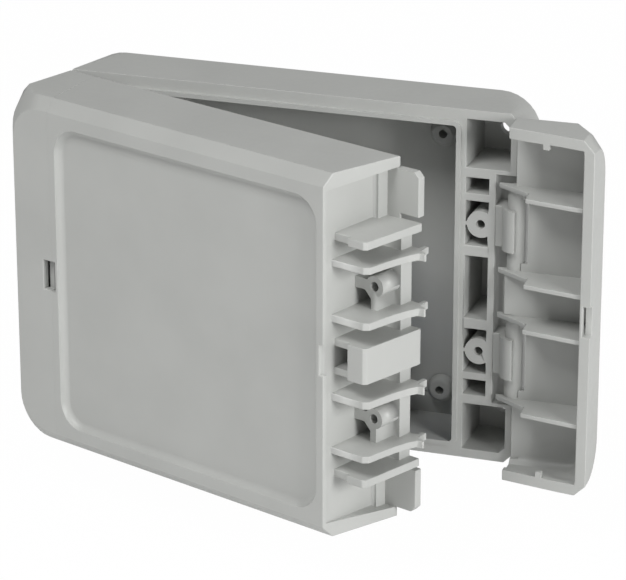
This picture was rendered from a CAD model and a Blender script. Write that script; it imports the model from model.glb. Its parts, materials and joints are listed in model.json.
"""Looks for the open fibre box: rounded shells, procedural materials, light and camera."""
import json
import math

import bpy
import bmesh
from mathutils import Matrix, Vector


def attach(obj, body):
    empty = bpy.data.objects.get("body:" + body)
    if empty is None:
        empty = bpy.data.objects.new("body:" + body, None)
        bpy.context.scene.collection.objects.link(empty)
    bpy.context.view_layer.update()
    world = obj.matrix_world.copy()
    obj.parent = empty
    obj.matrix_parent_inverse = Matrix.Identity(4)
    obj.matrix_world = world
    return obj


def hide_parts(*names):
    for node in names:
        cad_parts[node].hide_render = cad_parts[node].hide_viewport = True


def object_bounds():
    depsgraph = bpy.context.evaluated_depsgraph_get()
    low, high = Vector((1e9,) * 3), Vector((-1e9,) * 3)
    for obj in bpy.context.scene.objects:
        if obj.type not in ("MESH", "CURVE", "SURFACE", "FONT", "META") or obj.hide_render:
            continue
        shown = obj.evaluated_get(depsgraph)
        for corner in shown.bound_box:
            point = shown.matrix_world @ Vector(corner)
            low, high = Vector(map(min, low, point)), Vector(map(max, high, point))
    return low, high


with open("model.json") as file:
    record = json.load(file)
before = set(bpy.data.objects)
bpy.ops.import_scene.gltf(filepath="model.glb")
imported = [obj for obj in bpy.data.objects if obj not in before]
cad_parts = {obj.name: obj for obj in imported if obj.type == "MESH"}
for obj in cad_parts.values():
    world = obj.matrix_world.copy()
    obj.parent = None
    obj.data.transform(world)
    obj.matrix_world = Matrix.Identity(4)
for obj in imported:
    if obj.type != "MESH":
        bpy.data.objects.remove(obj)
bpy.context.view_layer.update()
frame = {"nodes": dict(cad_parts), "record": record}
MM = 0.001


# ---------------------------------------------------------------- shader helper

class Nodes:
    """Adds and links shader nodes in one material."""

    def __init__(self, name):
        self.material = bpy.data.materials.new(name)
        self.material.use_nodes = True
        self.tree = self.material.node_tree
        self.bsdf = self.tree.nodes["Principled BSDF"]

    def add(self, kind, **settings):
        node = self.tree.nodes.new(kind)
        for key, value in settings.items():
            setattr(node, key, value)
        return node

    def link(self, out, into):
        self.tree.links.new(out, into)

    def set(self, **values):
        for key, value in values.items():
            self.bsdf.inputs[key.replace("_", " ")].default_value = value

    def place(self, stretch=(1, 1, 1)):
        """Object coordinates, scaled along each axis."""
        mapping = self.add("ShaderNodeMapping")
        mapping.inputs["Scale"].default_value = stretch
        self.link(self.add("ShaderNodeTexCoord").outputs["Object"], mapping.inputs["Vector"])
        return mapping.outputs["Vector"]

    def noise(self, size, detail=2.0, stretch=(1, 1, 1)):
        """Noise whose features are about size metres across."""
        node = self.add("ShaderNodeTexNoise")
        node.inputs["Scale"].default_value = 1 / size
        node.inputs["Detail"].default_value = detail
        self.link(self.place(stretch), node.inputs["Vector"])
        return node.outputs["Fac"]

    def cells(self, size, output="Distance"):
        """Cells about size metres across, as the given output of a Voronoi texture."""
        node = self.add("ShaderNodeTexVoronoi")
        node.inputs["Scale"].default_value = 1 / size
        self.link(self.place(), node.inputs["Vector"])
        return node.outputs[output]

    def remap(self, value, low, high, new_low=0.0, new_high=1.0):
        node = self.add("ShaderNodeMapRange")
        for key, number in (("From Min", low), ("From Max", high), ("To Min", new_low), ("To Max", new_high)):
            node.inputs[key].default_value = number
        self.link(value, node.inputs["Value"])
        return node.outputs["Result"]

    def maths(self, operation, first, second):
        node = self.add("ShaderNodeMath", operation=operation)
        for socket, value in zip(node.inputs, (first, second)):
            if isinstance(value, (int, float)):
                socket.default_value = value
            else:
                self.link(value, socket)
        return node.outputs["Value"]

    def mix(self, factor, first, second):
        """Blends two colours, each a tuple or another node's output."""
        node = self.add("ShaderNodeMix", data_type="RGBA")
        self.link(factor, node.inputs[0])
        for socket, colour in zip((node.inputs[6], node.inputs[7]), (first, second)):
            if isinstance(colour, tuple):
                socket.default_value = (*colour, 1)
            else:
                self.link(colour, socket)
        return node.outputs[2]

    def bump(self, height, strength, distance):
        node = self.add("ShaderNodeBump")
        node.inputs["Strength"].default_value = strength
        node.inputs["Distance"].default_value = distance
        self.link(height, node.inputs["Height"])
        self.link(node.outputs["Normal"], self.bsdf.inputs["Normal"])
        return node

    def edges(self, radius):
        """Mask that rises from 0 on flat faces to 1 along convex and concave edges."""
        bevel = self.add("ShaderNodeBevel", samples=4)
        bevel.inputs["Radius"].default_value = radius
        dot = self.add("ShaderNodeVectorMath", operation="DOT_PRODUCT")
        self.link(bevel.outputs["Normal"], dot.inputs[0])
        self.link(self.add("ShaderNodeNewGeometry").outputs["True Normal"], dot.inputs[1])
        return self.remap(dot.outputs["Value"], 0.98, 0.8)


def shade(colour, factor):
    """The colour made darker or paler."""
    return tuple(min(1.0, c * factor) for c in colour)


# ---------------------------------------------------------------- materials

def moulded(name, colour, rough=0.45, grain=0.35 * MM, depth=0.012 * MM, drift=0.025, worn=1.07):
    """Spark-textured moulding: fine grain, slow colour drift, paler and smoother worn edges."""
    n = Nodes(name)
    cloud = n.remap(n.noise(28 * MM, 3), 0.35, 0.65)
    body = n.mix(cloud, shade(colour, 1 - drift), shade(colour, 1 + drift))
    worn_edge = n.edges(0.45 * MM)
    n.link(n.mix(n.maths("MULTIPLY", worn_edge, 0.6), body, shade(colour, worn)), n.bsdf.inputs["Base Color"])
    gloss = n.remap(n.noise(2.4 * MM, 4), 0.3, 0.7, rough - 0.05, rough + 0.05)
    n.link(n.maths("SUBTRACT", gloss, n.maths("MULTIPLY", worn_edge, 0.1)), n.bsdf.inputs["Roughness"])
    n.bump(n.noise(grain, 2), 0.4, depth)
    return n.material


def foam(name, colour):
    """Foamed seal with small open cells."""
    n = Nodes(name)
    pores = n.remap(n.cells(0.35 * MM), 0.1, 0.6)
    n.link(n.mix(pores, shade(colour, 0.55), shade(colour, 1.2)), n.bsdf.inputs["Base Color"])
    n.set(Roughness=0.92)
    n.bump(pores, 0.8, 0.06 * MM)
    return n.material


def clear_sheet(name, colour):
    """Clear moulded cover with faint flow lines."""
    n = Nodes(name)
    flow = n.noise(9 * MM, 3, (0.3, 1, 1))
    n.link(n.mix(flow, shade(colour, 0.95), colour), n.bsdf.inputs["Base Color"])
    n.link(n.remap(flow, 0.3, 0.7, 0.04, 0.12), n.bsdf.inputs["Roughness"])
    n.set(IOR=1.49, Transmission_Weight=0.92)
    n.bump(flow, 0.15, 0.05 * MM)
    return n.material


def zinc(name, colour, rough=0.32):
    """Zinc plate: a faint two-tone bloom and fine turning marks."""
    n = Nodes(name)
    bloom = n.remap(n.noise(1.6 * MM, 3), 0.35, 0.65)
    n.link(n.mix(bloom, shade(colour, 0.86), (colour[0], colour[1] * 0.98, colour[2] * 0.92)),
           n.bsdf.inputs["Base Color"])
    n.set(Metallic=1.0)
    n.link(n.remap(n.noise(0.4 * MM, 2), 0.3, 0.7, rough - 0.08, rough + 0.1), n.bsdf.inputs["Roughness"])
    n.bump(n.noise(0.12 * MM, 1, (0.2, 1, 1)), 0.3, 0.004 * MM)
    return n.material


def galvanised(name, colour):
    """Galvanised sheet: spangle cells over fine rolling lines."""
    n = Nodes(name)
    spangle = n.cells(3.2 * MM, "Color")
    tone = n.add("ShaderNodeRGBToBW")
    n.link(spangle, tone.inputs["Color"])
    n.link(n.mix(tone.outputs["Val"], shade(colour, 0.88), shade(colour, 1.08)), n.bsdf.inputs["Base Color"])
    n.set(Metallic=1.0)
    n.link(n.remap(tone.outputs["Val"], 0.2, 0.8, 0.28, 0.46), n.bsdf.inputs["Roughness"])
    n.bump(n.noise(0.25 * MM, 2, (0.05, 1, 1)), 0.35, 0.006 * MM)
    return n.material


def jacket(name, colour):
    """Tight fibre jacket: glossy, with soft dark and pale stretches along its run."""
    n = Nodes(name)
    run = n.remap(n.noise(4 * MM, 2), 0.35, 0.65)
    n.link(n.mix(run, shade(colour, 0.85), shade(colour, 1.08)), n.bsdf.inputs["Base Color"])
    n.link(n.remap(n.noise(0.8 * MM), 0.3, 0.7, 0.28, 0.42), n.bsdf.inputs["Roughness"])
    n.set(Coat_Weight=0.2)
    n.bump(n.noise(0.25 * MM), 0.25, 0.01 * MM)
    return n.material


def shrink_sleeve(name, colour):
    """Heat-shrunk sleeve: milky, lightly wrinkled skin."""
    n = Nodes(name)
    wrinkle = n.noise(0.5 * MM, 3, (0.25, 1, 1))
    n.link(n.mix(wrinkle, shade(colour, 0.8), shade(colour, 1.1)), n.bsdf.inputs["Base Color"])
    n.set(Roughness=0.22, Transmission_Weight=0.35, IOR=1.45)
    n.bump(wrinkle, 0.5, 0.03 * MM)
    return n.material


def rubber(name, colour):
    """Moulded rubber with a dusty bloom."""
    n = Nodes(name)
    dust = n.remap(n.noise(1.2 * MM, 4), 0.45, 0.7)
    n.link(n.mix(dust, colour, shade(colour, 1.9)), n.bsdf.inputs["Base Color"])
    n.link(n.remap(dust, 0, 1, 0.6, 0.85), n.bsdf.inputs["Roughness"])
    n.bump(n.noise(0.3 * MM), 0.4, 0.02 * MM)
    return n.material


GREY = (0.445, 0.452, 0.436)
MATERIALS = {
    "enclosure_plastic": moulded("enclosure_plastic", GREY),
    "closure_plastic": moulded("closure_plastic", shade(GREY, 1.01)),
    "gasket_foam": foam("gasket_foam", (0.10, 0.105, 0.10)),
    "tray_plastic": moulded("tray_plastic", (0.74, 0.75, 0.73), 0.38, 0.25 * MM, 0.006 * MM),
    "cover_plastic": clear_sheet("cover_plastic", (0.86, 0.92, 0.95)),
    "dark_plastic": moulded("dark_plastic", (0.028, 0.03, 0.033), 0.5, worn=1.8),
    "sleeve_plastic": shrink_sleeve("sleeve_plastic", (0.62, 0.68, 0.74)),
    "zinc_steel": zinc("zinc_steel", (0.66, 0.67, 0.68)),
    "bracket_steel": galvanised("bracket_steel", (0.58, 0.6, 0.62)),
    "adapter_plastic": moulded("adapter_plastic", (0.015, 0.11, 0.38), 0.33, depth=0.005 * MM, worn=1.35),
    "cap_plastic": moulded("cap_plastic", (0.52, 0.035, 0.02), 0.42, depth=0.01 * MM, worn=1.2),
    "connector_plastic": moulded("connector_plastic", (0.03, 0.15, 0.46), 0.3, depth=0.004 * MM, worn=1.3),
    "fibre_jacket": jacket("fibre_jacket", (0.8, 0.53, 0.03)),
    "gland_plastic": moulded("gland_plastic", (0.055, 0.058, 0.062), 0.48, worn=1.5),
    "seal_rubber": rubber("seal_rubber", (0.014, 0.014, 0.015)),
    "plug_plastic": moulded("plug_plastic", (0.5, 0.51, 0.49), 0.45),
}


# ---------------------------------------------------------------- rounded shells

ROUND = 0.28 * MM
SHARP = math.radians(24)
SHORTEST = 1.4 * MM
# Smooth shading runs over edges flatter than this, so over a rounded edge's own faces.
SMOOTH = math.radians(32)

# Lid hinge and how far the lid stands open; the seam is measured with the lid closed.
HINGE = Vector((-81, -25, 0)) * MM
OPEN = math.radians(21.2)
FRONT = -55.5 * MM
SEAM_AT_FRONT = -60.2 * MM
SEAM_SLOPE = 6.6 / 30.5
SEAM_REACH = 0.15 * MM


def clean_shell(bm):
    """Joins the exported triangles into whole faces."""
    same_point = 0.002 * MM
    flat = math.radians(0.6)
    bmesh.ops.remove_doubles(bm, verts=bm.verts, dist=same_point)
    bmesh.ops.dissolve_degenerate(bm, dist=same_point, edges=bm.edges)
    bmesh.ops.dissolve_limit(bm, angle_limit=flat, verts=bm.verts, edges=bm.edges)


def on_seam(point):
    """True on the slanted seam between the lid and the left closure, which stays tight."""
    x = point.x - HINGE.x
    y = point.y - HINGE.y
    along = HINGE.x + x * math.cos(OPEN) - y * math.sin(OPEN)
    depth = HINGE.y + x * math.sin(OPEN) + y * math.cos(OPEN)
    seam = SEAM_AT_FRONT - SEAM_SLOPE * (depth - FRONT)
    return abs(along - seam) < SEAM_REACH


def takes_rounding(edge):
    """True for a sharp outer edge with enough room around both its ends."""
    if len(edge.link_faces) != 2 or not edge.is_convex or edge.calc_length() < SHORTEST:
        return False
    if edge.calc_face_angle(0) < SHARP:
        return False
    if all(on_seam(vert.co) for vert in edge.verts):
        return False
    near = [e.calc_length() for v in edge.verts for e in v.link_edges]
    return min(near) > 2.2 * ROUND


def round_edges(bm):
    """Bevels the outer edges in two steps, which reads as a small radius."""
    edges = [edge for edge in bm.edges if takes_rounding(edge)]
    bmesh.ops.bevel(bm, geom=edges, offset=ROUND, offset_type="OFFSET", segments=2, profile=0.5,
                    affect="EDGES", clamp_overlap=False)


def rounded_shell(name):
    """A copy of a moulded CAD shell with its outer edges rounded; it stands for the node."""
    bm = bmesh.new()
    bm.from_mesh(frame["nodes"][name].data)
    clean_shell(bm)
    round_edges(bm)
    mesh = bpy.data.meshes.new(name + "_moulded")
    bm.to_mesh(mesh)
    bm.free()
    for face in mesh.polygons:
        face.use_smooth = True
    mesh.set_sharp_from_angle(angle=SMOOTH)
    piece = bpy.data.objects.new(name + "_moulded", mesh)
    bpy.context.scene.collection.objects.link(piece)
    flat = piece.modifiers.new("flat_faces", "WEIGHTED_NORMAL")
    flat.keep_sharp = True
    flat.mode = "FACE_AREA_WITH_ANGLE"
    return piece


# ---------------------------------------------------------------- fibres

def tube(name, paths, radius):
    """Smooth round runs through the given points, as one mesh with closed ends."""
    data = bpy.data.curves.new(name, "CURVE")
    data.dimensions = "3D"
    data.bevel_depth = radius
    data.bevel_resolution = 4
    data.use_fill_caps = True
    for points in paths:
        spline = data.splines.new("BEZIER")
        spline.resolution_u = 10
        spline.bezier_points.add(len(points) - 1)
        for knot, point in zip(spline.bezier_points, points):
            knot.co = point
            knot.handle_left_type = knot.handle_right_type = "AUTO"
    curve = bpy.data.objects.new(name + "_curve", data)
    bpy.context.scene.collection.objects.link(curve)
    bpy.context.view_layer.update()
    mesh = bpy.data.meshes.new_from_object(curve.evaluated_get(bpy.context.evaluated_depsgraph_get()))
    bpy.data.objects.remove(curve)
    mesh.materials.clear()
    for face in mesh.polygons:
        face.use_smooth = True
    piece = bpy.data.objects.new(name, mesh)
    bpy.context.scene.collection.objects.link(piece)
    return piece


# Fibres, in millimetres: the connectors' boots, the run under the tray, the hub and the sleeves.
FIBRES = 4
FIBRE_R = 0.42
BOOT = (-27, -19.5, -9.1)
BOOT_PITCH = 14
RUN_Y = -13.2
RUN_PITCH = 1.1
RUN_Z = -8.6
HUB_X = -26
HUB_Z = 12
LOOP_R = 15.8
SLEEVE = (-16.6, -14.52, 29.6)
SLEEVE_PITCH = 1.5


def fibre_paths():
    """Each fibre leaves its connector, enters the tray, turns round the hub and ends at its sleeve."""
    paths = []
    for i in range(FIBRES):
        x = BOOT[0] + BOOT_PITCH * i
        y = RUN_Y - RUN_PITCH * (FIBRES - 1 - i)
        entry = HUB_X - LOOP_R
        turn = [(HUB_X + LOOP_R * math.cos(a), y, HUB_Z + LOOP_R * math.sin(a))
                for a in (math.radians(d) for d in (180, 150, 120, 90))]
        points = [(x, BOOT[1], BOOT[2]), (x - 2, y, RUN_Z), (entry + 3, y, RUN_Z), (entry, y, RUN_Z + 3),
                  *turn, (SLEEVE[0], SLEEVE[1], SLEEVE[2] + SLEEVE_PITCH * i)]
        paths.append([Vector(point) * MM for point in points])
    return paths


# ---------------------------------------------------------------- materials and pieces onto the frame

def body_of(node):
    """The moving body that a CAD node belongs to."""
    for body, nodes in frame["record"]["behaviour"]["bodies"].items():
        if node in nodes:
            return body
    raise ValueError(node)


SHELLS = ["base_shell", "lid_shell", "left_closure", "right_closure"]
slots = {part["node"]: part["material_slot"] for part in frame["record"]["subparts"]}
for part, slot in slots.items():
    node = frame["nodes"][part]
    node.data.materials.clear()
    node.data.materials.append(MATERIALS[slot])
fibres = tube("fibre_runs", fibre_paths(), FIBRE_R * MM)
for part in SHELLS + ["pigtails"]:
    piece = fibres if part == "pigtails" else rounded_shell(part)
    piece.data.materials.append(MATERIALS[slots[part]])
    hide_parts(part)
    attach(piece, body_of(part))


# ---------------------------------------------------------------- camera

VIEW_TURN = math.radians(18.84)
VIEW_TILT = math.radians(-20.7)
VIEW_AIM = Vector((10.84, -30, -5.82)) * MM
VIEW_DISTANCE = 1159 * MM
LENS = 195.3


def add_camera():
    """A long lens, above and to the right of the box, looking down at its front."""
    level = math.cos(VIEW_TILT)
    look = Vector((-math.sin(VIEW_TURN) * level, math.cos(VIEW_TURN) * level, math.sin(VIEW_TILT)))
    data = bpy.data.cameras.new("camera")
    data.lens = LENS
    data.sensor_width = 36
    data.clip_start = 0.05
    camera = bpy.data.objects.new("camera", data)
    camera.location = VIEW_AIM - look * VIEW_DISTANCE
    camera.rotation_euler = look.to_track_quat("-Z", "Y").to_euler()
    bpy.context.scene.collection.objects.link(camera)
    bpy.context.scene.camera = camera


# ---------------------------------------------------------------- stage and light

FLOOR_REACH = 8
FLOOR_GLOW = 0.99


def add_floor():
    """Pale floor under the lowest point, bright enough to run into the background."""
    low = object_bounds()[0]
    mesh = bpy.data.meshes.new("floor")
    bm = bmesh.new()
    bmesh.ops.create_grid(bm, x_segments=2, y_segments=2, size=FLOOR_REACH)
    bmesh.ops.translate(bm, verts=bm.verts, vec=(0, 0, low[2]))
    bm.to_mesh(mesh)
    bm.free()
    floor = bpy.data.objects.new("floor", mesh)
    bpy.context.scene.collection.objects.link(floor)
    n = Nodes("pale_floor")
    n.link(n.mix(n.noise(0.3), (0.93, 0.93, 0.93), (0.96, 0.96, 0.96)), n.bsdf.inputs["Base Color"])
    n.set(Roughness=0.9, Specular_IOR_Level=0.1)
    glow = n.add("ShaderNodeEmission")
    seen = n.maths("MULTIPLY", n.add("ShaderNodeLightPath").outputs["Is Camera Ray"], FLOOR_GLOW)
    blend = n.add("ShaderNodeMixShader")
    n.link(seen, blend.inputs[0])
    n.link(n.bsdf.outputs["BSDF"], blend.inputs[1])
    n.link(glow.outputs["Emission"], blend.inputs[2])
    n.link(blend.outputs["Shader"], n.tree.nodes["Material Output"].inputs["Surface"])
    mesh.materials.append(n.material)


def add_area_light(name, place, aim, size, power):
    """Square soft light at a place, turned towards the aim."""
    data = bpy.data.lights.new(name, "AREA")
    data.size = size
    data.energy = power
    light = bpy.data.objects.new(name, data)
    light.location = place
    light.rotation_euler = (Vector(aim) - Vector(place)).to_track_quat("-Z", "Y").to_euler()
    bpy.context.scene.collection.objects.link(light)


def add_world(strength):
    """White backdrop for the camera, softer white light for everything else."""
    world = bpy.data.worlds.new("world")
    world.use_nodes = True
    tree = world.node_tree
    background = tree.nodes["Background"]
    background.inputs["Color"].default_value = (1, 1, 1, 1)
    path = tree.nodes.new("ShaderNodeLightPath")
    level = tree.nodes.new("ShaderNodeMapRange")
    level.inputs["To Min"].default_value = strength
    level.inputs["To Max"].default_value = 1.0
    tree.links.new(path.outputs["Is Camera Ray"], level.inputs["Value"])
    tree.links.new(level.outputs["Result"], background.inputs["Strength"])
    bpy.context.scene.world = world


MIDDLE = (0, -0.03, 0)
add_camera()
add_floor()
add_world(0.26)
add_area_light("right", (1.2, -0.72, 0.4), MIDDLE, 0.45, 14)
add_area_light("front", (-0.25, -0.85, 1.28), MIDDLE, 0.6, 12)
bpy.context.scene.view_settings.view_transform = "Standard"
